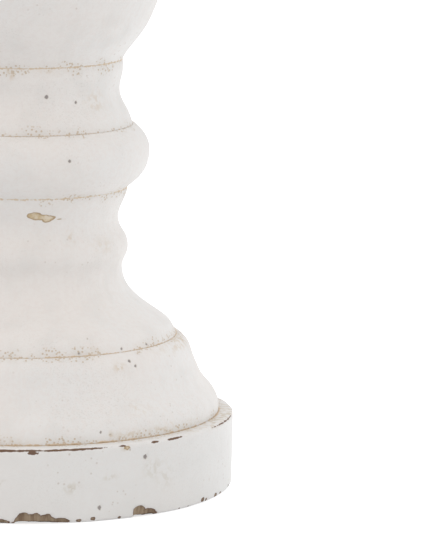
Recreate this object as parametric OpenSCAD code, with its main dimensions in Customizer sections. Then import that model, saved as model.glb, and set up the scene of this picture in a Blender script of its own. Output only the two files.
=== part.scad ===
// Painted wooden pillar candlestick: ten turned members stacked on a steel tie rod,
// with a pressed steel pan and a pricket on top. Millimetres, +Z up, origin at the
// centre of the underside.

/* [Foot] */
// Diameter of the plinth at its upper edge
plinth_d = 159; // [156:1:180]
// Height of the plinth
plinth_h = 29; // [26:1:36]
// How much narrower the plinth is at the table, on the radius
plinth_taper = 0.8; // [0:0.1:3]
// Width of the bare ledge that the plinth leaves round the bell moulding
plinth_ledge = 6; // [4:0.5:9]
// Height of the bell moulding
bell_h = 30.5; // [28:0.5:40]
// How far the bell moulding draws in from its foot to its top
bell_draw = 15.5; // [12:0.5:18]
// Height of the foot's flare, bead and cove
foot_h = 58; // [50:1:70]
// Radius of the foot at its narrowest
foot_neck_r = 35.9; // [32:0.1:40]

/* [Column] */
// Height of the lower ring
ring_h = 24.5; // [20:0.5:30]
// Largest radius of the lower ring
ring_r = 46.9; // [44:0.1:50]
// Height of the lower collar
collar_h = 25.5; // [22:0.5:32]
// Radius of the lower collar at its narrowest
collar_r = 35.4; // [32:0.1:36]
// Height of the vase
vase_h = 132.5; // [110:0.5:160]
// Largest radius of the vase
vase_r = 54.5; // [48:0.5:62]
// Radius of the vase's neck
vase_neck_r = 24; // [21:0.5:28]
// Height of the upper ring
upper_ring_h = 19; // [16:0.5:24]
// Largest radius of the upper ring
upper_ring_r = 34; // [32:0.5:40]
// Height of the upper collar
upper_collar_h = 22; // [20:0.5:28]
// Radius of the upper collar at its narrowest
upper_collar_r = 24.6; // [22:0.1:26]
// Height of the cup
cup_h = 47; // [44:0.5:60]
// Largest radius of the cup
cup_r = 52; // [50:0.5:54]

/* [Candle seat] */
// Diameter of the drip plate at its upper edge
plate_d = 124; // [120:1:140]
// Thickness of the drip plate
plate_h = 22; // [20:0.5:28]
// Depth of the turned recess that the pan lies in
recess_depth = 6; // [5:0.5:8]
// Radius of the pan's flat floor
pan_floor_r = 43; // [40:0.5:44]
// Height of the pan's wall up to the middle of its rolled rim
pan_wall_h = 7.6; // [7.4:0.1:10]
// Thickness of the pan's sheet
pan_sheet = 1; // [0.8:0.1:1.2]
// Diameter of the pricket
spike_d = 5; // [4:0.5:6]
// Length of the pricket's round shank above the pan
spike_shank = 20; // [16:1:24]
// Length of the pricket's point
spike_point = 12; // [8:1:16]

/* [Joinery] */
// Diameter of the tie rod
rod_d = 8; // [6:1:8]
// Pitch of the tie rod's thread
rod_pitch = 1.25; // [1:0.05:1.5]
// Diameter of the round spigot under each member
spigot_d = 26; // [24:1:28]
// Length of each spigot
spigot_h = 8; // [6:0.5:9]
// Gap all round a spigot, for the glue
glue_gap = 0.1; // [0.05:0.05:0.3]
// Depth of the felt's recess in the plinth
felt_h = 2; // [1.5:0.5:3]
// Diameter of the felt disc
felt_d = 140; // [130:1:142]

/* [Hidden] */
$fn = 96;

// Heights of the seams between the members
bell_z = plinth_h;
foot_z = bell_z + bell_h;
ring_z = foot_z + foot_h;
collar_z = ring_z + ring_h;
vase_z = collar_z + collar_h;
upper_ring_z = vase_z + vase_h;
upper_collar_z = upper_ring_z + upper_ring_h;
cup_z = upper_collar_z + upper_collar_h;
plate_z = cup_z + cup_h;
recess_z = plate_z + plate_h - recess_depth;
floor_z = recess_z + pan_sheet;

// Radius at which the foot stands on the bell moulding
foot_base_r = plinth_d / 2 - plinth_ledge - bell_draw - 1;

// Straight pieces in each curve of an outline
curve_steps = 10;
// Softened edge where a flat face meets a side
arris = 0.9;

// Clearances and hardware, after the tie rod's size
bore_r = rod_d / 2 + 0.5;
nut_flats = 1.625 * rod_d;
nut_h = 0.8 * rod_d;
washer_r = 1.375 * rod_d;
washer_h = 1.6;
pocket_r = washer_r + 2;
pocket_depth = 12;
thread_length = 16;
thread_depth = 0.61 * rod_pitch;
thread_gap = 0.02;
rod_tail = 1.2;
bottom_seat_z = felt_h + pocket_depth;
top_seat_z = recess_z - pocket_depth;
rod_low = bottom_seat_z - washer_h - nut_h - rod_tail;
rod_high = top_seat_z + washer_h + nut_h + rod_tail;

// Wood screws: thread diameter, length, head diameter, number in the circle, radius of the circle
base_screw = [5, 35, 10, 4, 45];
plate_screw = [4, 26, 8, 3, 31];
pan_screw = [3, 14, 5.6, 3, 38];
screw_pitch = 1.8;
screw_thread_depth = 0.5;
screw_gap = 0.05;
head_edge = 0.4;
slot_w = 1;
slot_depth = 1.4;
base_screw_sink = 6;
recess_r = 51;
recess_fillet = 2;
rim_bead_r = 1.3;
boss_r = spike_d / 2 + 1.5;
flange_r = 8;
flange_h = 2;

paint = "#F1ECE7";
steel = "#B9BBBD";
dark_steel = "#5C5A57";

// Cubic curve from a to d, pulled towards b and c
function curve(a, b, c, d) = [
    for (i = [0 : curve_steps]) let (t = i / curve_steps, u = 1 - t)
        u * u * u * a + 3 * u * u * t * b + 3 * u * t * t * c + t * t * t * d
];

// S-shaped curve between two heights where the outline runs upright
function swell(a, b, pull = 0.5) =
    curve(a, [a.x, a.y + pull * (b.y - a.y)], [b.x, b.y - pull * (b.y - a.y)], b);

// Quarter round from a to b; the corner it rounds is at [b.x, a.y] or [a.x, b.y]
function round_over(a, b, corner) = curve(a, a + 0.55 * (corner - a), b + 0.55 * (corner - b), b);

// Outlines of the turned members: radius and height above the member's own seam
function plinth_outline() = let (r = plinth_d / 2, foot_r = r - plinth_taper) concat(
    round_over([foot_r - arris, 0], [foot_r, arris], [foot_r, 0]),
    round_over([r, plinth_h - arris], [r - arris, plinth_h], [r, plinth_h])
);

function bell_outline() = let (r = plinth_d / 2 - plinth_ledge, d = bell_draw, h = bell_h) concat(
    curve([r, 0], [r + 0.5, 0.06 * h], [r + 0.5, 0.14 * h], [r - 0.9, 0.22 * h]),
    curve([r - 0.9, 0.22 * h], [r - 0.14 * d, 0.31 * h],
          [r - 0.32 * d, 0.365 * h], [r - 0.43 * d, 0.47 * h]),
    curve([r - 0.43 * d, 0.47 * h], [r - 0.52 * d, 0.57 * h],
          [r - 0.63 * d, 0.695 * h], [r - 0.68 * d, 0.8 * h]),
    curve([r - 0.68 * d, 0.8 * h], [r - 0.72 * d, 0.885 * h], [r - 0.83 * d, 0.95 * h], [r - d, h])
);

function foot_outline() = let (r = foot_base_r, n = foot_neck_r, h = foot_h) concat(
    curve([r, 0], [r - 0.4, 0.02 * h], [r - 1, 0.045 * h], [r - 2, 0.078 * h]),
    curve([r - 2, 0.078 * h], [r - 7, 0.165 * h], [n, 0.26 * h], [n, 0.455 * h]),
    swell([n, 0.455 * h], [n + 2.4, 0.6 * h]),
    swell([n + 2.4, 0.6 * h], [n - 1.5, 0.8 * h]),
    swell([n - 1.5, 0.8 * h], [n + 2.3, h], 0.34)
);

// A fat ring between two seams; ends are its radii at the seams
function ring_outline(r, h, low_end, high_end) = concat(
    curve([low_end, 0], [0.68 * low_end + 0.32 * r, 0.08 * h], [r, 0.2 * h], [r, 0.59 * h]),
    curve([r, 0.59 * h], [r, 0.76 * h], [0.33 * high_end + 0.67 * r, 0.88 * h], [high_end, h])
);

// A cove between two seams with a soft bead in its upper part
function collar_outline(r, h, low_end) = concat(
    curve([low_end, 0], [low_end - 0.5, 0.25 * h], [r, 0.32 * h], [r, 0.54 * h]),
    curve([r, 0.54 * h], [r, 0.68 * h], [r + 1.4, 0.74 * h], [r + 1.4, 0.87 * h]),
    curve([r + 1.4, 0.87 * h], [r + 1.4, 0.95 * h], [r + 1.2, 0.98 * h], [r + 1, h])
);

function vase_outline() = let (
    r = vase_r, n = vase_neck_r, h = vase_h, belly = 0.35 * h, rise = h - belly, low = collar_r + 1.1
) concat(
    curve([low, 0], [low + 1.1, 2.7], [low + 6.7, 8.2], [low + 9.5, 12.6]),
    curve([low + 9.5, 12.6], [low + 12.2, 17], [r, 0.67 * belly], [r, belly]),
    curve([r, belly], [r, belly + 0.34 * rise], [n, belly + 0.4 * rise], [n, 0.86 * h]),
    swell([n, 0.86 * h], [n + 3.6, h], 0.4)
);

function cup_outline() = let (r = cup_r, n = upper_collar_r + 1.6, h = cup_h) concat(
    curve([n, 0], [n + 0.4, 0.2 * h], [n + 5, 0.34 * h], [0.45 * n + 0.55 * r, 0.5 * h]),
    curve([0.45 * n + 0.55 * r, 0.5 * h], [0.15 * n + 0.85 * r, 0.61 * h], [r, 0.68 * h], [r, 0.82 * h]),
    curve([r, 0.82 * h], [r, 0.92 * h], [r - 1.2, 0.97 * h], [r - 3, h])
);

function plate_outline() = let (r = plate_d / 2, foot_r = r - 1) concat(
    round_over([foot_r - 2 * arris, 0], [foot_r, 2 * arris], [foot_r, 0]),
    round_over([r, plate_h - arris], [r - arris, plate_h], [r, plate_h])
);

// One turned member at height z: its outline, a spigot below unless it stands on the
// table, a socket above unless it is the top one, and the bore for the tie rod
module turned(z, h, outline, spigot = true, socket = true) {
    low = -spigot_h;
    socket_z = socket ? h - spigot_h - 1 : h;
    spigot_r = spigot_d / 2;
    socket_r = spigot_r + glue_gap;
    below = spigot
        ? [[bore_r, low], [spigot_r - 1, low], [spigot_r, low + 1], [spigot_r, 0]]
        : [[bore_r, 0]];
    above = socket ? [[socket_r, h], [socket_r, socket_z], [bore_r, socket_z]] : [[bore_r, h]];
    translate([0, 0, z]) rotate_extrude() polygon(concat(below, outline, above));
}

function thread_d(screw) = screw[0];
function screw_length(screw) = screw[1];
function head_d(screw) = screw[2];
function count(screw) = screw[3];
function circle_r(screw) = screw[4];

// Copies the children evenly round a circle
module around(number, radius, first)
    for (i = [0 : number - 1]) rotate(first + i * 360 / number) translate([radius, 0, 0]) children();

// Countersunk wood screw, head face up at z = 0 and point down
module wood_screw(screw) {
    r = thread_d(screw) / 2;
    length = screw_length(screw);
    head_r = head_d(screw) / 2;
    root_r = r - screw_thread_depth;
    neck_z = r - head_r - head_edge;
    turns = floor((length + neck_z - 2 * r - 3) / screw_pitch);
    thread_z = -length + 2 * r + turns * screw_pitch;
    thread = [for (i = [0 : turns - 1]) each [
        [root_r, thread_z - i * screw_pitch], [r, thread_z - (i + 0.5) * screw_pitch]
    ]];
    difference() {
        rotate_extrude() polygon(concat(
            [[0, 0], [head_r, 0], [head_r, -head_edge], [r, neck_z], [r, thread_z + 1]],
            thread, [[root_r, -length + 2 * r], [0, -length]]
        ));
        for (turn = [0, 90]) rotate(turn)
            translate([-head_r * 0.55, -slot_w / 2, -slot_depth])
                cube([head_r * 1.1, slot_w, slot_depth + 1]);
    }
}

// The hole that takes such a screw, with its countersink
module screw_hole(screw) {
    r = thread_d(screw) / 2 + screw_gap;
    head_r = head_d(screw) / 2 + screw_gap;
    end_z = -screw_length(screw) - 1;
    rotate_extrude() polygon([
        [0, 1], [head_r, 1], [head_r, -head_edge], [r, r - head_r - head_edge], [r, end_z], [0, end_z]
    ]);
}

// Places of the three sets of screws, for the screws and for their holes
module screw_circle(screw, z, first) around(count(screw), circle_r(screw), first)
    translate([0, 0, z]) children();
module base_screw_places() screw_circle(base_screw, felt_h + base_screw_sink, 45)
    rotate([180, 0, 0]) children();
module plate_screw_places() screw_circle(plate_screw, recess_z, 30) children();
module pan_screw_places() screw_circle(pan_screw, floor_z, 90) children();

// Pocket for a washer and a nut, up from the felt or down from the recess
module nut_pocket(low_z) translate([0, 0, low_z]) cylinder(r = pocket_r, h = pocket_depth);

module plinth() color(paint) difference() {
    turned(0, plinth_h, plinth_outline(), spigot = false);
    translate([0, 0, -1]) cylinder(d = felt_d + 1, h = felt_h + 1);
    nut_pocket(felt_h);
    base_screw_places() {
        screw_hole(base_screw);
        cylinder(d = head_d(base_screw) + 1, h = base_screw_sink);
    }
}

module bell_moulding() color(paint) difference() {
    turned(bell_z, bell_h, bell_outline());
    base_screw_places() screw_hole(base_screw);
}

module foot_flare() color(paint) turned(foot_z, foot_h, foot_outline());

module lower_ring() color(paint)
    turned(ring_z, ring_h, ring_outline(ring_r, ring_h, foot_neck_r + 1.6, collar_r + 5.9));

module lower_collar() color(paint)
    turned(collar_z, collar_h, collar_outline(collar_r, collar_h, collar_r + 4.8));

module vase() color(paint) turned(vase_z, vase_h, vase_outline());

module upper_ring() color(paint) turned(upper_ring_z, upper_ring_h,
    ring_outline(upper_ring_r, upper_ring_h, vase_neck_r + 4.4, upper_collar_r + 4.2));

module upper_collar() color(paint) turned(upper_collar_z, upper_collar_h,
    collar_outline(upper_collar_r, upper_collar_h, upper_collar_r + 4));

module cup() color(paint) difference() {
    turned(cup_z, cup_h, cup_outline());
    plate_screw_places() screw_hole(plate_screw);
}

module drip_plate() color(paint) difference() {
    turned(plate_z, plate_h, plate_outline(), socket = false);
    translate([0, 0, recess_z]) rotate_extrude() polygon(concat(
        [[0, 0]], round_over([recess_r - recess_fillet, 0], [recess_r, recess_fillet], [recess_r, 0]),
        [[recess_r, plate_h], [0, plate_h]]
    ));
    nut_pocket(recess_z - pocket_depth);
    plate_screw_places() screw_hole(plate_screw);
    pan_screw_places() screw_hole(pan_screw);
}

// Dished pan: flat floor, short curved wall and a rolled rim
module drip_pan() color(dark_steel) difference() {
    r = pan_floor_r;
    h = pan_wall_h;
    s = pan_sheet;
    translate([0, 0, recess_z]) rotate_extrude() {
        polygon(concat(
            [[boss_r, 0]],
            curve([r, 0], [r + 4, 0], [r + 5.4, 1.6], [r + 6.4, h]),
            curve([r + 6.4 - s, h], [r + 5.4 - s, 2.2], [r + 3.4, s], [r, s]),
            [[boss_r, s]]
        ));
        translate([r + 6.4, h]) circle(r = rim_bead_r);
    }
    pan_screw_places() screw_hole(pan_screw);
}

// Pricket: a flange under the pan, a boss flush in the pan's hole, a shank and a point
module pricket() color(steel) translate([0, 0, recess_z]) rotate_extrude() polygon([
    [0, -flange_h], [flange_r, -flange_h], [flange_r, 0], [boss_r, 0], [boss_r, pan_sheet],
    [spike_d / 2, pan_sheet], [spike_d / 2, pan_sheet + spike_shank],
    [0.3, pan_sheet + spike_shank + spike_point], [0, pan_sheet + spike_shank + spike_point]
]);

// Tie rod, threaded at both ends; its thread is drawn as rings
function thread_rings(z) = [for (i = [0 : thread_length / rod_pitch - 1]) each [
    [rod_d / 2 - thread_depth, z + i * rod_pitch], [rod_d / 2, z + (i + 0.5) * rod_pitch]
]];
module tie_rod() color(steel) rotate_extrude() polygon(concat(
    [[0, rod_low]], thread_rings(rod_low),
    [[rod_d / 2, rod_low + thread_length + rod_pitch], [rod_d / 2, rod_high - thread_length - rod_pitch]],
    thread_rings(rod_high - thread_length), [[rod_d / 2 - thread_depth, rod_high], [0, rod_high]]
));

// Hexagon nut standing on height z, with its corners turned off
module hex_nut(z) translate([0, 0, z]) difference() {
    corner_r = nut_flats / 2 / cos(30);
    bevel = corner_r - nut_flats / 2;
    intersection() {
        cylinder(r = corner_r, h = nut_h, $fn = 6);
        rotate_extrude() polygon([
            [0, 0], [nut_flats / 2, 0], [corner_r, bevel * 0.6], [corner_r, nut_h - bevel * 0.6],
            [nut_flats / 2, nut_h], [0, nut_h]
        ]);
    }
    translate([0, 0, -1]) cylinder(r = rod_d / 2 + thread_gap, h = nut_h + 2);
}

module washer(z) translate([0, 0, z]) difference() {
    cylinder(r = washer_r, h = washer_h);
    translate([0, 0, -1]) cylinder(r = rod_d / 2 + 0.25, h = washer_h + 2);
}

module top_washer() color(steel) washer(top_seat_z);
module top_nut() color(steel) hex_nut(top_seat_z + washer_h);
module bottom_washer() color(steel) washer(bottom_seat_z - washer_h);
module bottom_nut() color(steel) hex_nut(bottom_seat_z - washer_h - nut_h);

module base_screws() color(steel) base_screw_places() wood_screw(base_screw);
module plate_screws() color(steel) plate_screw_places() wood_screw(plate_screw);
module pan_screws() color(dark_steel) pan_screw_places() wood_screw(pan_screw);

module felt_pad() color("#4A4F45") cylinder(d = felt_d, h = felt_h);

plinth();
bell_moulding();
foot_flare();
lower_ring();
lower_collar();
vase();
upper_ring();
upper_collar();
cup();
drip_plate();
drip_pan();
pricket();
tie_rod();
top_nut();
top_washer();
bottom_nut();
bottom_washer();
base_screws();
plate_screws();
pan_screws();
felt_pad();
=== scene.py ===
"""Looks of the painted wooden candlestick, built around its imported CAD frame.

Lengths are millimetres while a surface is worked out, and metres once it is a mesh. Azimuth is in
degrees: 0 faces the camera (-Y) and 90 is the right side (+X), so it grows to the right.
"""
import math

import bmesh
import bpy
import numpy as np
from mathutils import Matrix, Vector


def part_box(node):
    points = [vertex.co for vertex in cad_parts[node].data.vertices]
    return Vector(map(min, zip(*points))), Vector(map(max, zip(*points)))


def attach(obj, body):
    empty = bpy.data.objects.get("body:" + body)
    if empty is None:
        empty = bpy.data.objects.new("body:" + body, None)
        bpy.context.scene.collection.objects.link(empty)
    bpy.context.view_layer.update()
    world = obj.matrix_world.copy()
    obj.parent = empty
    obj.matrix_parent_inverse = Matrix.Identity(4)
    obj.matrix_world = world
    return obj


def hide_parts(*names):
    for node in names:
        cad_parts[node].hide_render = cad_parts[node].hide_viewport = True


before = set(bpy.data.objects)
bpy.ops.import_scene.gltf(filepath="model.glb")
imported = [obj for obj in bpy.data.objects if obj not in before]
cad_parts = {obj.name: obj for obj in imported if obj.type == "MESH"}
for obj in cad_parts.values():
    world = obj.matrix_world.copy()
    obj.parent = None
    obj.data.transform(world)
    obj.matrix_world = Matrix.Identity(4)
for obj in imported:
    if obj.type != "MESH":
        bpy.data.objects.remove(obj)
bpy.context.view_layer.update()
MM = 0.001

# ------------------------------------------------------------------ the turned members, bottom to top
MEMBERS = ["plinth", "bell_moulding", "foot_flare", "lower_ring", "lower_collar", "vase",
           "upper_ring", "upper_collar", "cup", "drip_plate"]
SOCKET_R = 14          # everything nearer the axis is a bore, a spigot or a socket
TRIANGLES = 190000     # most triangles in one piece
FINE = 0.25            # distance between rows of faces at an edge
PLAIN = 0.62           # and between the edges
HIDDEN = 5.0           # and on a face that another member covers
SPREAD = 0.14          # how fast the rows spread away from an edge
HIDDEN_SPREAD = 0.4    # and on a covered face
EDGE_TURN = 25         # an outline that turns more than this in one point has an edge there
LEAST_TURN = 0.3       # a point that turns less than this is left out
JOINT_REACH = 1.2      # edges nearer than this to a joint are rounded less
CLEAR = 9.0            # a distance from every mark at which none of them shows


def outline(node):
    """A turned CAD node's closed outline, anticlockwise: radius and height of its points at one azimuth."""
    bm = bmesh.new()
    bm.from_mesh(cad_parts[node].data)
    bmesh.ops.remove_doubles(bm, verts=bm.verts, dist=1e-6)
    cut = bmesh.ops.bisect_plane(bm, geom=bm.verts[:] + bm.edges[:] + bm.faces[:], dist=1e-6,
                                 plane_co=(0, 0, 0), plane_no=(0, 1, 0))["geom_cut"]
    near = {}
    for edge in cut:
        if isinstance(edge, bmesh.types.BMEdge):
            a, b = edge.verts
            if a.co.x + b.co.x > 1e-5:
                near.setdefault(a, []).append(b)
                near.setdefault(b, []).append(a)
    start = min(near, key=lambda v: (len(near[v]) != 1, v.co.z, v.co.x))
    walk, last = [start], None
    while True:
        onward = [v for v in near[walk[-1]] if v is not last and v is not start]
        if not onward:
            break
        last = walk[-1]
        walk.append(onward[0])
    loop = np.array([(v.co.x, v.co.z) for v in walk]) / MM
    bm.free()
    r, z = loop.T
    if (r * np.roll(z, -1) - z * np.roll(r, -1)).sum() < 0:
        loop = loop[::-1]
    before, after = loop - np.roll(loop, 1, 0), np.roll(loop, -1, 0) - loop
    return loop[np.abs(turn(before, after)) > LEAST_TURN]


def turn(a, b):
    """Angle from direction a to direction b, in degrees."""
    return np.degrees(np.arctan2(a[:, 0] * b[:, 1] - a[:, 1] * b[:, 0], (a * b).sum(1)))


def rows_along(loop, rim):
    """Rows for a surface along a closed outline: close together at its edges, and far apart on a flat face
    from rim inward of its outer end, where another member covers it."""
    before, after = loop - np.roll(loop, 1, 0), np.roll(loop, -1, 0) - loop
    first = int(np.argmin(loop[:, 0]))
    loop = np.roll(loop, -first, 0)
    edge = np.roll((np.abs(turn(before, after)) > EDGE_TURN) | (loop[:, 0] < SOCKET_R), -first)
    edge[0] = True
    closed = np.vstack((loop, loop[:1]))
    stops = list(np.flatnonzero(edge)) + [len(loop)]
    rows = []
    for low, high in zip(stops[:-1], stops[1:]):
        part = closed[low:high + 1]
        gaps = np.hypot(*np.diff(part, axis=0).T)
        if part[:, 0].max() < SOCKET_R:
            rows.append(part[:1])
            continue
        along = np.append(0, np.cumsum(gaps))
        s = np.linspace(0, along[-1], max(int(along[-1] / 0.05), 2))
        step = np.minimum(PLAIN, FINE + SPREAD * np.minimum(s, s[-1] - s))
        if len(part) == 2 and abs(part[0, 1] - part[1, 1]) < 0.01 and along[-1] > 2 * rim:
            inward = s if part[0, 0] > part[1, 0] else s[-1] - s
            step = np.minimum(HIDDEN, np.where(inward < rim, np.minimum(PLAIN, FINE + SPREAD * inward),
                                               PLAIN + HIDDEN_SPREAD * (inward - rim)))
        count = np.append(0, np.cumsum(np.diff(s) / step[1:]))
        at = np.interp(np.linspace(0, count[-1], math.ceil(count[-1]) + 1)[:-1], count, s)
        rows.append(np.column_stack([np.interp(at, along, part[:, k]) for k in (0, 1)]))
    return np.vstack(rows)


def soften(rows, passes, joints):
    """Rounds the edges of an outline outside the sockets: less beside a joint, and not at all in it."""
    share = np.ones(len(rows))
    for k in joints:
        share = np.minimum(share, np.clip(to_seam(rows, k) / JOINT_REACH, 0, 1))
    before, after = np.roll(rows, 1, 0), np.roll(rows, -1, 0)
    share = np.where(np.minimum(before, after)[:, 0] > SOCKET_R, share, 0)[:, None]
    for _ in range(passes):
        rows = rows + share * ((np.roll(rows, 1, 0) + np.roll(rows, -1, 0)) / 4 - rows / 2)
    return rows


def waves(azimuth, height, radius, length, seed, streak=1.0, count=26):
    """Smooth noise of about -1 to 1 over a turned surface; streak stretches it along the height."""
    rng = np.random.default_rng(seed)
    total = np.zeros(np.broadcast(azimuth, height).shape)
    for _ in range(count):
        way, size = rng.uniform(0, math.tau), length * rng.uniform(0.7, 1.6)
        across = round(math.tau * radius * math.cos(way) / size)
        total += np.cos(across * np.radians(azimuth) + math.tau * math.sin(way) / (size * streak) * height
                        + rng.uniform(0, math.tau))
    return total / math.sqrt(count)


def around_gap(a, b):
    """The shorter way round from azimuth b to azimuth a."""
    return (a - b + 180) % 360 - 180


def mesh_piece(name, vertices, faces, values, material):
    """A smooth-shaded piece from arrays in millimetres, with one number a vertex for each named value."""
    mesh = bpy.data.meshes.new(name)
    mesh.from_pydata((vertices * MM).tolist(), [], faces.tolist())
    for key, value in values.items():
        mesh.attributes.new(key, "FLOAT", "POINT").data.foreach_set(
            "value", np.ascontiguousarray(value, dtype=np.float32).ravel())
    mesh.polygons.foreach_set("use_smooth", [True] * len(mesh.polygons))
    mesh.materials.append(material)
    piece = bpy.data.objects.new(name, mesh)
    bpy.context.scene.collection.objects.link(piece)
    return piece


def lathe(name, radius, height, azimuth, values, material):
    """A closed turned surface: radius and height are arrays of rows by columns."""
    m, n = radius.shape
    a = np.radians(azimuth)
    vertices = np.stack((radius * np.sin(a), -radius * np.cos(a), height), -1).reshape(-1, 3)
    i, j = np.meshgrid(np.arange(m), np.arange(n), indexing="ij")
    i2, j2 = (i + 1) % m, (j + 1) % n
    faces = np.stack((i * n + j, i * n + j2, i2 * n + j2, i2 * n + j), -1).reshape(-1, 4)
    return mesh_piece(name, vertices, faces, values, material)


# ------------------------------------------------------------------ marks on the paint
# The photograph shows the candlestick from azimuth -14 to 90. The marks on that side stand in the lists
# below. Most of their places were picked in the photograph, turned into azimuth and height by a scratch
# program, and rounded to whole degrees and about half millimetres above the foot of their member.
# Marks elsewhere are drawn at random, apart from one long stain behind and the far ends of some runs.
# A finished mark holds: member, azimuth, height, half width, half height, depth. A finished stain holds its
# strength in place of the depth.
SEEN = (-14, 90)
UNSEEN = 0.71          # share of the way round that isn't in the photograph
PIT_DENSITY = 0.055    # random pits in a millimetre of height, all round
STAIN_DENSITY = 0.06   # and random stains
# Small hollows: azimuth, height above the member's foot, half size
PITS = {
    "lower_collar": [(11, 14, 0.75), (30, 12, 0.55)],
    "lower_ring": [(19, 15.5, 0.7), (73, 6, 0.5)],
    "foot_flare": [(24, 6, 0.4), (39, 14.5, 0.3), (52, 1.5, 0.5), (38, 1.5, 0.5), (19, 1.5, 0.55)],
    "bell_moulding": [(38, 28, 0.6), (40, 26, 0.6), (21, 4, 0.45), (24, 3, 0.6)],
    "plinth": [(33, 23, 1.0), (37, 24.5, 0.4), (19, 5, 0.85), (46, 18, 0.4), (71, 19, 0.4),
               (28, 26.5, 0.7)],
}
# Stretches of the plinth's upper arris that are worn through: first and last azimuth, half thickness,
# and how far below the arris
WORN_RUNS = [(-32, 10, 0.55, 0), (2, 21, 0.5, 0), (-1, 2, 0.75, 0.7), (25, 27, 0.5, 0.1), (35, 38, 0.55, 0),
             (41, 47, 0.6, 0), (63, 80, 0.3, 0)]
# Bites out of the plinth's lower arris, down to the wood: first and last azimuth, height
BITES = [(-16, -7, 3.0), (-4, 9, 4.5), (30, 36, 4.2)]
# Single small chips there: azimuth, half size
NICKS = [(13, 0.7), (17, 0.8), (25, 0.5), (46, 0.3), (50, 0.3), (57, 1.0), (59, 0.6), (65, 0.9), (69, 0.7),
         (78, 0.8)]
LOBE = 3.6             # half width of one lobe of a bite, about
# Worn through to a tan undercoat: member, azimuth, height above its foot, half width, half height
RUBS = [("foot_flare", 3, 51, 2.8, 1.7), ("foot_flare", 7, 50.5, 2.4, 1.3),
        ("foot_flare", 11, 50, 3.1, 1.5), ("foot_flare", 19, 49.5, 1.8, 0.25),
        ("plinth", 27, 27.5, 1.3, 0.8)]
# Soft ochre stains in the glaze: member, azimuth, height above its foot, half width, half height, strength
STAINS = [
    ("plinth", 11, 13.5, 3, 2, 0.6), ("plinth", 22, 16.5, 2.6, 1.3, 0.5), ("plinth", -8, 16, 1.5, 1.2, 0.5),
    ("plinth", 36, 18, 5, 4, 0.35), ("plinth", 40, 14, 4, 4, 0.3), ("plinth", 27, 27.5, 2, 1.3, 0.9),
    ("plinth", 75, 29, 30, 1, 0.85), ("plinth", 215, 29, 60, 1, 0.4),
    ("bell_moulding", 24, 2, 1.2, 1.8, 0.9), ("bell_moulding", 46, 3.5, 1.6, 1.2, 1.0),
    ("bell_moulding", 30, 2, 6, 1.8, 0.7), ("bell_moulding", 42, 2, 7, 1.6, 0.6),
    ("bell_moulding", 57, 2, 5, 1.5, 0.5), ("bell_moulding", -6, 1.5, 6, 1.3, 0.5),
    ("bell_moulding", 76, 29, 20, 2.2, 0.6), ("bell_moulding", 36, 10.5, 4.5, 1.6, 0.5),
    ("bell_moulding", 33, 26, 3, 1.6, 0.7),
    ("foot_flare", 26, 2, 1.5, 1.6, 0.8), ("foot_flare", 26, 42, 1.5, 3, 0.5),
    ("foot_flare", 50, 38, 6, 3, 0.3),
    ("lower_collar", 45, 11.5, 5, 4, 0.45), ("lower_collar", -11, 23.5, 1.6, 2.2, 0.9),
    ("lower_collar", 9, 24, 5, 1.3, 0.45),
]
# Edges of the members that wear and chip: member, height of the edge, share of it that is worn
EDGES = [("plinth", 28.3, 0.45), ("plinth", 0.9, 0.4), ("bell_moulding", 58.9, 0.08),
         ("drip_plate", 409.3, 0.5), ("drip_plate", 389.6, 0.3), ("cup", 386.6, 0.12)]


def scattered():
    """Marks on the sides that the photograph doesn't show, and on the members above its upper edge."""
    rng = np.random.default_rng(5)
    marks = {"pit": [], "worn": [], "chip": [], "stain": []}
    for member in MEMBERS:
        low, high = (v.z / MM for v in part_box(member))
        low = low if member == "plinth" else low + SPIGOT_H
        seen = MEMBERS.index(member) <= MEMBERS.index("vase")
        for kind, density in (("pit", PIT_DENSITY), ("stain", STAIN_DENSITY)):
            for _ in range(int(density * (high - low) * (UNSEEN if seen else 1)) + 3):
                az = rng.uniform(SEEN[1], 360 + SEEN[0]) if seen else rng.uniform(0, 360)
                z = rng.uniform(low + 1.5, high - 1.5)
                size = rng.uniform(0.3, 0.7) if kind == "pit" else rng.uniform(1.2, 4.0)
                marks[kind].append((member, az, z, size * rng.uniform(0.9, 1.4), size,
                                    rng.uniform(0.3, 0.6)))
    for member, z, share in EDGES:
        az, stop = (SEEN[1], 360 + SEEN[0] - 10) if member in ("plinth", "bell_moulding") else (0, 360)
        # One mark after another along the edge, with gaps that leave its share worn
        while az < stop:
            wide = min(rng.lognormal(0.6, 0.9), 14) * min(1, 1.6 * share)
            degrees = math.degrees(wide / (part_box(member)[1].x / MM))
            az += degrees
            if rng.uniform() < (0.6 if z < 5 else 0.22):
                tall = rng.uniform(0.45, 0.95) * wide ** 0.7
                marks["chip"].append((member, az, z, wide, tall, 0.6))
            else:
                marks["worn"].append((member, az, z, wide, rng.uniform(0.26, 0.44), 0.15))
            az += degrees + rng.exponential(2 * degrees * (1 / share - 1) + 1.0)
    return marks


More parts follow.
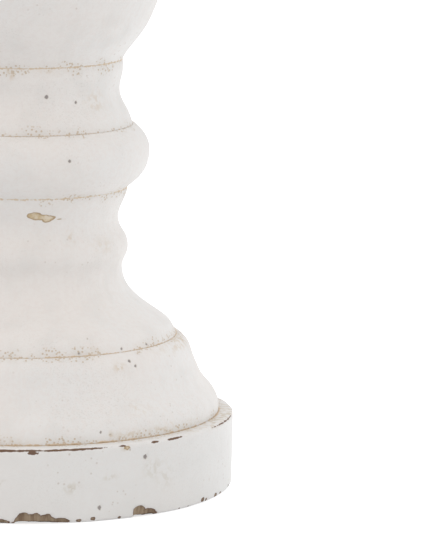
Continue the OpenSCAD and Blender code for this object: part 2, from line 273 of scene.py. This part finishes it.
def marked(member, marks, azimuth, rows, seed):
    """Distance outside the nearest mark, below 0 inside one, and the hollow that the marks leave."""
    along = np.append(0, np.cumsum(np.hypot(*np.diff(rows, axis=0).T)))
    distance = np.full((len(rows), len(azimuth)), CLEAR)
    hollow = np.zeros_like(distance)
    for k, (name, az, z, half_w, half_h, depth) in enumerate(marks):
        if name != member:
            continue
        # The row at the mark's height, on the outside rather than in the bore
        middle = int(np.argmin(np.abs(rows[:, 1] - z) - 0.02 * rows[:, 0]))
        radius, small = rows[middle, 0], min(half_w, half_h)
        near = np.abs(along - along[middle]) < half_h + 4
        across = np.abs(around_gap(azimuth, az)) < math.degrees((half_w + 4) / radius)
        a, r = azimuth[across][None], rows[near, 0][:, None]
        up = (along[near] - along[middle])[:, None]
        ragged = (0.06 + 0.07 * small) * waves(a, up, radius, 1.6 + 0.9 * small, seed + 31 * k, count=14)
        d = (np.hypot(np.radians(around_gap(a, az)) * r / half_w, up / half_h) - 1) * small + ragged
        grid = np.ix_(near, across)
        distance[grid] = np.minimum(distance[grid], d)
        hollow[grid] = np.maximum(hollow[grid], depth * np.clip(-d / min(0.45, 0.6 * half_h), 0, 1))
    return distance, hollow


def tinted(member, marks, azimuth, rows):
    """How strongly the soft stains colour each point."""
    weight = np.zeros((len(rows), len(azimuth)))
    for name, az, z, half_w, half_h, strength in marks:
        if name == member:
            u = np.radians(around_gap(azimuth[None], az)) * rows[:, :1] / half_w
            v = (rows[:, 1:] - z) / half_h
            weight = np.maximum(weight, strength * np.exp(-(u * u + v * v) * 1.2))
    return weight


# The seams, bottom to top: half width of the glaze line, and its unevenness
SEAM_LINES = [(0.42, 0.6), (0.24, 0.5), (0.18, 0.6), (0.08, 0.8), (0.20, 0.35),
              (0.30, 0.5), (0.28, 0.5), (0.28, 0.6), (0.30, 0.5)]
NARROW_LEDGE = 0.9     # glaze covers a ledge that is narrower than this
SPIGOT_H = (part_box("bell_moulding")[1].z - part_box("foot_flare")[0].z) / MM
OUTLINES = {member: outline(member) for member in MEMBERS}


def end_radius(loop, z):
    """How far out an outline reaches at the height of a seam."""
    return loop[(np.abs(loop[:, 1] - z) < 0.02) & (loop[:, 0] > SOCKET_R), 0].max()


def seam(k):
    """Where member k meets the one above it: the glaze's inner and outer radius, and the height."""
    below, above = OUTLINES[MEMBERS[k]], OUTLINES[MEMBERS[k + 1]]
    z = below[below[:, 0] > SOCKET_R, 1].max()
    ends = [end_radius(loop, z) for loop in (below, above)]
    return min(ends), max(ends) if max(ends) - min(ends) < NARROW_LEDGE else min(ends), z


def to_seam(rows, k):
    """Distance of each row of an outline from seam k."""
    inner, outer, z = SEAMS[k]
    return np.hypot(np.maximum(0, np.maximum(inner - rows[:, 0], rows[:, 0] - outer)), rows[:, 1] - z)


def filled(member, k, rows):
    """The outline with paint in the narrow gap of seam k, where the member overhangs a ledge."""
    _, outer, z = SEAMS[k]
    end = end_radius(OUTLINES[member], z)
    close = (np.abs(rows[:, 1] - z) < NARROW_LEDGE) & (rows[:, 0] > end - 0.01)
    if end < outer - 0.01 and rows[close, 0].max() > outer:
        rows[close, 0] = np.maximum(rows[close, 0], outer)
    return rows


def glaze_width(k, azimuth):
    """Half width of the glaze line in seam k round the candlestick."""
    width, uneven = SEAM_LINES[k]
    radius = SEAMS[k][0]
    noise = (waves(azimuth, 0, radius, 2.5, 70 + k) * 0.5 + waves(azimuth, 0, radius, 9, 90 + k) * 0.5
             + waves(azimuth, 0, radius, 40, 110 + k) * 0.4)
    return width * (1 + uneven * noise)


def foot_of(member):
    """Height of a member's lowest visible point."""
    k = MEMBERS.index(member)
    return SEAMS[k - 1][2] if k else 0.0


def placed():
    """The marks on the side that the photograph shows, in the form of finished marks."""
    rng = np.random.default_rng(17)
    # A height within the plinth's rounded upper arris
    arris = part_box("plinth")[1].z / MM - 0.7
    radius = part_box("plinth")[1].x / MM
    marks = {"pit": [], "worn": [], "chip": [], "rub": [], "stain": []}
    for member, pits in PITS.items():
        for az, up, size in pits:
            marks["pit"].append((member, az, foot_of(member) + up, size, size * 1.1, 0.8 * size))
    for first, last, thick, drop in WORN_RUNS:
        half = math.radians(last - first) / 2 * radius
        marks["worn"].append(("plinth", (first + last) / 2, arris - drop, half, thick, 0.15))
    for first, last, tall in BITES:
        wide = math.radians(last - first) * radius
        lobes = max(2, round(wide / (1.2 * LOBE)))
        for i in range(lobes):
            share = (i + 0.5) / lobes
            mound = tall * (1 - 0.75 * share ** 2.5) * rng.uniform(0.82, 1.0)
            marks["chip"].append(("plinth", first + share * (last - first), 0.5,
                                  LOBE * rng.uniform(0.85, 1.1), mound, 0.8))
    for az, size in NICKS:
        marks["chip"].append(("plinth", az, 0.4 + 0.8 * size, size * 1.2, size, 0.4))
    for member, az, up, half_w, half_h in RUBS:
        marks["rub"].append((member, az, foot_of(member) + up, half_w, half_h, 0.3))
    for member, az, up, half_w, half_h, strength in STAINS:
        marks["stain"].append((member, az, foot_of(member) + up, half_w, half_h, strength))
    return marks


SEAMS = [seam(k) for k in range(len(MEMBERS) - 1)]
MARKS = scattered()
for kind, marks in placed().items():
    MARKS[kind] = marks + MARKS.get(kind, [])


MARK_SEEDS = {"pit": 1000, "worn": 4000, "chip": 2000, "rub": 3000}
RIM = 3                # how far in the rows stay close together on a flat face
PLINTH_RIM = 8.5       # and on the plinth, whose ledge shows
ROUNDINGS = 4          # passes that round the edges


def turned_member(k, material):
    """One painted wooden member: its CAD outline turned again with soft edges, unevenness and marks."""
    member = MEMBERS[k]
    rows = rows_along(OUTLINES[member], PLINTH_RIM if member == "plinth" else RIM)
    widest = rows[:, 0].max()
    columns = min(int(math.tau * widest / 0.6), int(TRIANGLES / 2 / len(rows)), 900)
    azimuth = np.arange(columns) * 360 / columns
    own_seams = [s for s in (k - 1, k) if 0 <= s < len(SEAMS)]
    for s in own_seams:
        rows = filled(member, s, rows)
    rows = soften(rows, ROUNDINGS, own_seams)
    along = np.roll(rows, -1, 0) - np.roll(rows, 1, 0)
    normal = np.column_stack((along[:, 1], -along[:, 0])) / np.maximum(np.hypot(*along.T), 1e-9)[:, None]
    a, h = azimuth[None], rows[:, 1:]
    outer = (rows[:, 0] > SOCKET_R)[:, None] * 1.0

    uneven = 0.10 * (1 + waves(a, h, widest, 45, 11 + k)) + 0.035 * (1 + waves(a, h, widest, 9, 12 + k, 2))

    glaze = np.full((len(rows), columns), CLEAR)
    near_seam = np.full(len(rows), 60.0)
    for s in own_seams:
        distance = to_seam(rows, s)
        near_seam = np.minimum(near_seam, distance)
        glaze = np.minimum(glaze, distance[:, None] - glaze_width(s, azimuth)[None])

    inward = np.clip(uneven, 0, 0.4) * np.clip(near_seam / 4, 0, 1)[:, None]
    values = {}
    for kind, seed in MARK_SEEDS.items():
        values[kind], hollow = marked(member, MARKS[kind], azimuth, rows, seed + 7 * k)
        inward = inward + hollow
    inward = outer * inward
    radius = rows[:, :1] - inward * normal[:, :1]
    height = rows[:, 1:] - inward * normal[:, 1:]
    values["stain"] = tinted(member, MARKS["stain"], azimuth, rows)
    values["glaze"] = glaze
    values["seam"] = np.repeat(near_seam[:, None], columns, 1)
    piece = lathe("painted_" + member, radius, height, azimuth, values, material)
    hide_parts(member)
    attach(piece, "root")


# ------------------------------------------------------------------ materials
class Nodes:
    """A node tree that grows one call at a time: inputs are sockets to link, or values to set."""

    def __init__(self, tree):
        self.tree = tree

    def add(self, kind, inputs=None, **settings):
        node = self.tree.nodes.new(kind)
        for key, value in settings.items():
            setattr(node, key, value)
        for key, value in (inputs or {}).items():
            self.put(node.inputs[key], value)
        return node

    def put(self, socket, value):
        if isinstance(value, bpy.types.NodeSocket):
            self.tree.links.new(value, socket)
        elif socket.type == "RGBA":
            socket.default_value = (*value, 1)
        else:
            socket.default_value = value

    def maths(self, how, a, b):
        return self.add("ShaderNodeMath", {0: a, 1: b}, operation=how).outputs[0]

    def times(self, a, b):
        return self.maths("MULTIPLY", a, b)

    def plus(self, a, b):
        return self.maths("ADD", a, b)

    def vectors(self, how, a, b, output=0):
        return self.add("ShaderNodeVectorMath", {0: a, 1: b}, operation=how).outputs[output]

    def step(self, value, low, high, to_low=0.0, to_high=1.0):
        """Goes smoothly from to_low to to_high as value goes from low to high."""
        return self.add("ShaderNodeMapRange", {"Value": value, "From Min": low, "From Max": high,
                                               "To Min": to_low, "To Max": to_high},
                        interpolation_type="SMOOTHSTEP").outputs[0]

    def mix(self, share, a, b):
        return self.add("ShaderNodeMix", {0: share, 6: a, 7: b}, data_type="RGBA").outputs[2]


class Shader(Nodes):
    """A new material with its Principled surface."""

    def __init__(self, name):
        self.material = bpy.data.materials.new(name)
        self.material.use_nodes = True
        super().__init__(self.material.node_tree)
        self.surface = self.tree.nodes["Principled BSDF"]
        self.place = self.add("ShaderNodeTexCoord").outputs["Object"]

    def noise(self, scale, detail=2, place=None, rough=0.5):
        return self.add("ShaderNodeTexNoise", {"Vector": place or self.place, "Scale": scale,
                                               "Detail": detail, "Roughness": rough}).outputs[0]

    def value(self, name):
        return self.add("ShaderNodeAttribute", attribute_name=name).outputs["Fac"]

    def wrapped(self, radius, tall):
        """Coordinates on a cylinder of that radius round the axis, with heights scaled by tall."""
        flat = self.vectors("MULTIPLY", self.place, (1, 1, 0))
        unit = self.add("ShaderNodeVectorMath", {0: flat}, operation="NORMALIZE").outputs[0]
        turned = self.add("ShaderNodeVectorMath", {0: unit, "Scale": radius}, operation="SCALE").outputs[0]
        return self.vectors("ADD", turned, self.vectors("MULTIPLY", self.place, (0, 0, tall)))

    def bump(self, height, distance, normal=None):
        inputs = {"Height": height, "Distance": distance, "Strength": 1.0}
        if normal is not None:
            inputs["Normal"] = normal
        return self.add("ShaderNodeBump", inputs).outputs[0]

    def finish(self, **inputs):
        for key, value in inputs.items():
            self.put(self.surface.inputs[key.replace("_", " ")], value)
        return self.material


# The paint, from its two main tones to the ones that are mixed in
PAINT_WARM = (0.835, 0.812, 0.790)
PAINT_COOL = (0.820, 0.815, 0.805)
PAINT_GREY = (0.700, 0.690, 0.672)
PAINT_PINK = (0.800, 0.752, 0.725)
PAINT_SHADOW = (0.640, 0.625, 0.595)
PAINT_LOW = (0.795, 0.805, 0.800)
LOW_DOWN = (0.034, 0.024)     # heights between which the plinth's tones come in
# Stains, glaze, and a darker tone near the seams
STAIN_TAN = (0.64, 0.53, 0.40)
STAIN_OLIVE = (0.55, 0.50, 0.40)
SPECKLE = (0.44, 0.36, 0.29)
SPECK_OCHRE = (0.56, 0.44, 0.31)
DARKER_NEAR_SEAM = (0.56, 0.53, 0.47)
OCHRE = (0.70, 0.57, 0.42)
UMBER = (0.60, 0.46, 0.32)
# Under the paint
DARK_BROWN = (0.175, 0.108, 0.074)
BARE_WOOD = (0.37, 0.29, 0.205)
WOOD_GRAIN = (0.22, 0.155, 0.105)
RUB_EDGE = (0.42, 0.30, 0.17)
TAN = (0.60, 0.48, 0.30)
CREAM = (0.74, 0.66, 0.54)
PIT_EDGE = (0.55, 0.47, 0.38)
# Painted shade in the bottom of a pit
PIT_SHADE = (0.36, 0.335, 0.325)
# The felt
FELT_DARK = (0.10, 0.11, 0.085)
FELT_LIGHT = (0.24, 0.25, 0.21)
FELT_PATCH = (0.13, 0.14, 0.115)


def painted_wood():
    """Distressed chalk paint with ochre glaze in the seams, worn to an undercoat or to the wood."""
    s = Shader("painted_wood")
    large = s.noise(16, 3)
    mid = s.noise(90, 4)
    fine = s.noise(520, 3)
    streaks = s.noise(700, 3, s.wrapped(0.05, 0.06))
    colour = s.mix(s.step(large, 0.38, 0.62), PAINT_WARM, PAINT_COOL)
    colour = s.mix(s.step(mid, 0.45, 0.75, 0, 0.30), colour, PAINT_GREY)
    colour = s.mix(s.step(streaks, 0.5, 0.8, 0, 0.10), colour, PAINT_GREY)
    colour = s.mix(s.step(s.noise(620, 3), 0.42, 0.66, 0, 0.35), colour, PAINT_PINK)
    pepper = s.times(s.step(s.noise(1500, 2), 0.5, 0.8),
                     s.step(s.noise(22, 2), 0.45, 0.65, 0.08, 0.55))
    colour = s.mix(pepper, colour, PAINT_SHADOW)
    # The plinth's paint is a little cooler
    low_down = s.step(s.add("ShaderNodeSeparateXYZ", {0: s.place}).outputs[2], *LOW_DOWN)
    colour = s.mix(s.times(low_down, 0.5), colour, PAINT_LOW)
    # Speckles where the glaze caught in the grain
    cells = s.add("ShaderNodeTexVoronoi", {"Vector": s.place, "Scale": 480.0}, feature="F1")
    clusters = s.step(s.noise(34, 2), 0.52, 0.70)
    dots = s.times(s.step(cells.outputs["Distance"], 0.26, 0.14), clusters)
    rare = s.step(s.add("ShaderNodeSeparateColor", {0: cells.outputs["Color"]}).outputs[0], 0.55, 0.62)
    dots = s.times(dots, rare)
    colour = s.mix(s.times(dots, 0.35), colour, SPECKLE)
    # Ochre specks that creep away from a seam
    pores = s.add("ShaderNodeTexVoronoi", {"Vector": s.place, "Scale": 800.0},
                  feature="F1").outputs["Distance"]
    creep = s.plus(s.value("seam"), s.step(s.noise(90, 2), 0.3, 0.7, 1.8, -3.0))
    specks = s.times(s.step(pores, 0.42, 0.25), s.step(creep, 1.6, 0.2))
    colour = s.mix(s.times(specks, 0.75), colour, SPECK_OCHRE)
    # Darker and greyer near a seam, in patches
    darker_near_seam = s.step(s.value("seam"), 4.5, 0.3)
    darker_near_seam = s.times(darker_near_seam, s.step(mid, 0.35, 0.7, 0.05, 0.22))
    colour = s.mix(darker_near_seam, colour, DARKER_NEAR_SEAM)
    # Soft stains
    stain = s.times(s.value("stain"), s.step(s.noise(420, 4), 0.45, 0.60, 0.08, 1.0))
    stain_colour = s.mix(low_down, STAIN_TAN, STAIN_OLIVE)
    colour = s.mix(s.times(stain, 0.9), colour, stain_colour)
    # Glaze line in the seam
    beads = s.noise(1100, 2)
    wobble = s.plus(s.step(fine, 0.25, 0.75, -0.2, 0.2), s.step(beads, 0.3, 0.7, -0.16, 0.16))
    glaze = s.plus(s.value("glaze"), wobble)
    colour = s.mix(s.step(glaze, 0.16, -0.12, 0, 0.85), colour, OCHRE)
    colour = s.mix(s.step(glaze, -0.2, -0.5, 0, 0.6), colour, UMBER)
    # Rubbed patches, worn arrises, chips and pits
    small = s.step(fine, 0.25, 0.75, -0.14, 0.14)
    rub = s.plus(s.value("rub"), small)
    colour = s.mix(s.step(rub, 0.12, -0.06, 0, 0.9), colour, RUB_EDGE)
    undercoat = s.mix(s.step(s.noise(330, 2), 0.42, 0.6), TAN, CREAM)
    colour = s.mix(s.step(rub, -0.25, -0.5), colour, undercoat)
    worn = s.plus(s.value("worn"), small)
    colour = s.mix(s.step(worn, 0.10, -0.05), colour, DARK_BROWN)
    chip = s.plus(s.value("chip"), small)
    grain = s.noise(900, 4, s.wrapped(0.06, 0.12))
    wood = s.mix(s.step(grain, 0.35, 0.65), BARE_WOOD, WOOD_GRAIN)
    colour = s.mix(s.step(chip, 0.14, -0.02), colour, DARK_BROWN)
    colour = s.mix(s.step(chip, -0.12, -0.32), colour, wood)
    pit = s.plus(s.value("pit"), s.times(small, 0.7))
    colour = s.mix(s.step(pit, 0.22, 0.0, 0, 0.35), colour, PIT_EDGE)
    # Painted shade inside each pit, over the pit's own hollow
    colour = s.mix(s.step(pit, 0.05, -0.2), colour, PIT_SHADE)
    bump = s.bump(s.noise(300, 5, rough=0.6), 0.00012)
    bump = s.bump(streaks, 0.00003, normal=bump)
    rough = s.step(mid, 0.3, 0.7, 0.62, 0.82)
    return s.finish(Base_Color=colour, Roughness=rough, Normal=bump, Specular_IOR_Level=0.25)


def metal(name, colour, dark, roughness, metallic, lines, bump_depth):
    """Metal with fine turned or rolled lines and a little staining."""
    s = Shader(name)
    streak = s.noise(lines, 3, s.wrapped(0.012, 6.0))
    cloud = s.noise(55, 4)
    shade = s.mix(s.step(cloud, 0.35, 0.7), colour, dark)
    shade = s.mix(s.step(streak, 0.4, 0.8, 0, 0.4), shade, dark)
    rough = s.step(s.plus(s.times(streak, 0.5), s.times(cloud, 0.5)),
                   0.3, 0.7, roughness[0], roughness[1])
    return s.finish(Base_Color=shade, Roughness=rough, Metallic=metallic,
                    Normal=s.bump(streak, bump_depth))


def felt():
    """Pressed wool felt: short mixed fibres."""
    s = Shader("felt")
    fibres = s.noise(1800, 4, rough=0.7)
    patches = s.noise(60, 3)
    colour = s.mix(s.step(fibres, 0.3, 0.7), FELT_DARK, FELT_LIGHT)
    colour = s.mix(s.step(patches, 0.4, 0.7, 0, 0.3), colour, FELT_PATCH)
    return s.finish(Base_Color=colour, Roughness=0.95, Specular_IOR_Level=0.1, Sheen_Weight=0.3,
                    Sheen_Roughness=0.6, Normal=s.bump(fibres, 0.0004))


def felt_disc(material):
    """The felt let into the underside: rounded edges and a fibrous surface, inside its CAD solid."""
    low, high = (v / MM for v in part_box("felt_pad"))
    radius, thick, round_r = high.x, high.z - low.z, 0.5
    turns = np.radians(np.arange(0, 91, 22.5))
    edge = [(radius - round_r + round_r * math.sin(t), low.z + round_r - round_r * math.cos(t))
            for t in turns]
    edge += [(r, low.z + thick - (z - low.z)) for r, z in edge[::-1]]
    flat = [(r, low.z) for r in np.arange(0.0, radius - round_r, 0.9)]
    rows = np.array(flat + edge + [(0.0, low.z + thick)])
    azimuth = np.arange(0, 360, 0.8)
    fuzz = 0.06 + 0.05 * waves(azimuth[None], rows[:, :1] * 1.7 + rows[:, 1:], radius, 2.4, 40)
    inside = np.where(rows[:, :1] > 0.5, np.clip(fuzz, 0, 0.14), 0.06)
    below = (rows[:, 1:] < low.z + thick / 2) * 1.0
    piece = lathe("felt_disc", rows[:, :1] - inside * (rows[:, :1] > radius - 1),
                  rows[:, 1:] + inside * below, azimuth, {}, material)
    bm = bmesh.new()
    bm.from_mesh(piece.data)
    bmesh.ops.remove_doubles(bm, verts=bm.verts, dist=1e-7)
    bm.to_mesh(piece.data)
    bm.free()
    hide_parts("felt_pad")
    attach(piece, "root")


paint = painted_wood()
for k in range(len(MEMBERS)):
    turned_member(k, paint)
felt_disc(felt())

# ------------------------------------------------------------------ carried-over CAD nodes
# Each finish: its main and darker tone, roughness from and to, metallic, scale and depth of its lines
STEELS = {
    "pan_steel": ((0.055, 0.052, 0.048), (0.03, 0.028, 0.026), (0.38, 0.6), 0.6, 160, 0.00005),
    "bright_steel": ((0.56, 0.55, 0.53), (0.36, 0.35, 0.33), (0.22, 0.42), 1.0, 700, 0.00003),
    "zinc_steel": ((0.60, 0.61, 0.62), (0.42, 0.43, 0.43), (0.3, 0.5), 1.0, 240, 0.00002),
}
FINISHES = {name: metal(name, *looks) for name, looks in STEELS.items()}
NODE_SLOTS = {
    "drip_pan": "pan_steel", "pan_screws": "pan_steel", "pricket": "bright_steel",
    "tie_rod": "zinc_steel", "top_nut": "zinc_steel", "top_washer": "zinc_steel",
    "bottom_nut": "zinc_steel", "bottom_washer": "zinc_steel", "base_screws": "zinc_steel",
    "plate_screws": "zinc_steel",
}
for name, slot in NODE_SLOTS.items():
    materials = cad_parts[name].data.materials
    materials.clear()
    materials.append(FINISHES[slot])


# ------------------------------------------------------------------ stage, light and camera
FRONT_LIGHT = (0.865, 0.83, 0.805)
BACK_LIGHT = (0.97, 0.985, 1.0)
TOP_LIGHT = 0.10              # how much brighter the top of the tent is, and how much darker its bottom
FLOOR_GLOW = (0.12, 0.85)     # before and behind the object
GLOW_WAY = (0.55, 0.83, 0)    # the floor grows brighter that way
GLOW_EDGE = (-0.03, 0.12)     # from and to, in metres that way from the axis
GLOW_REACH = (0.2, 0.8)       # the glow falls off between these distances
FAR_GLOW = 0.35               # to this share
FLOOR_SEEN = 0.6              # least glow that the camera sees
KEY_AT, KEY_TARGET = (-0.4, -1.6, 1.5), (0, 0, 0.15)
KEY_SIZE, KEY_POWER = 1.4, 2.0
CAMERA_AT, CAMERA_TARGET = (0, -1.718, 0.357), (0.0723, 0, 0.0845)
LENS, SENSOR = 298.4, 36


def floor():
    """A wide pale floor that glows, brightest behind the object and to its right."""
    s = Shader("floor")
    behind = s.vectors("DOT_PRODUCT", s.place, GLOW_WAY, "Value")
    away = s.add("ShaderNodeVectorMath", {0: s.place}, operation="LENGTH").outputs["Value"]
    far = s.step(away, *GLOW_REACH, 1, FAR_GLOW)
    glow = s.times(s.step(behind, *GLOW_EDGE, *FLOOR_GLOW), far)
    seen = s.add("ShaderNodeLightPath").outputs["Is Camera Ray"]
    s.finish(Base_Color=(0.68, 0.69, 0.70), Roughness=0.9, Specular_IOR_Level=0.0, Emission_Color=(1, 1, 1),
             Emission_Strength=s.maths("MAXIMUM", glow, s.times(seen, FLOOR_SEEN)))
    bm = bmesh.new()
    bmesh.ops.create_circle(bm, cap_ends=True, radius=9, segments=96)
    mesh = bpy.data.meshes.new("floor")
    bm.to_mesh(mesh)
    bm.free()
    mesh.materials.append(s.material)
    piece = bpy.data.objects.new("floor", mesh)
    bpy.context.scene.collection.objects.link(piece)


def light_tent():
    """Light from all round, brighter and cooler behind the object and a little brighter above. The camera
    sees it as plain white."""
    world = bpy.data.worlds.new("light_tent")
    bpy.context.scene.world = world
    world.use_nodes = True
    world.node_tree.nodes.clear()
    n = Nodes(world.node_tree)
    way = n.add("ShaderNodeSeparateXYZ", {0: n.add("ShaderNodeTexCoord").outputs["Generated"]}).outputs
    colour = n.mix(n.step(way[1], -0.35, 0.45), FRONT_LIGHT, BACK_LIGHT)
    light = n.add("ShaderNodeBackground", {
        "Color": colour, "Strength": n.add("ShaderNodeMapRange", {
            "Value": way[2], "From Min": -1.0, "From Max": 1.0, "To Min": 1 - TOP_LIGHT,
            "To Max": 1 + TOP_LIGHT}).outputs[0]}).outputs[0]
    plain = n.add("ShaderNodeBackground", {"Color": (1, 1, 1)}).outputs[0]
    seen = n.add("ShaderNodeLightPath").outputs["Is Camera Ray"]
    both = n.add("ShaderNodeMixShader", {0: seen, 1: light, 2: plain}).outputs[0]
    n.add("ShaderNodeOutputWorld", {0: both})


def aimed(name, data, place, target):
    """A lamp or a camera at a place, looking at a target."""
    made = bpy.data.objects.new(name, data)
    made.location = place
    made.rotation_euler = (Vector(target) - Vector(place)).to_track_quat("-Z", "Y").to_euler()
    bpy.context.scene.collection.objects.link(made)
    return made


def key_light():
    data = bpy.data.lights.new("key", "AREA")
    data.shape, data.size, data.energy = "DISK", KEY_SIZE, KEY_POWER
    aimed("key", data, KEY_AT, KEY_TARGET)


def camera():
    data = bpy.data.cameras.new("camera")
    data.lens, data.sensor_width, data.clip_start, data.clip_end = LENS, SENSOR, 0.05, 60
    bpy.context.scene.camera = aimed("camera", data, CAMERA_AT, CAMERA_TARGET)


floor()
light_tent()
key_light()
camera()
bpy.context.scene.view_settings.view_transform = "Standard"
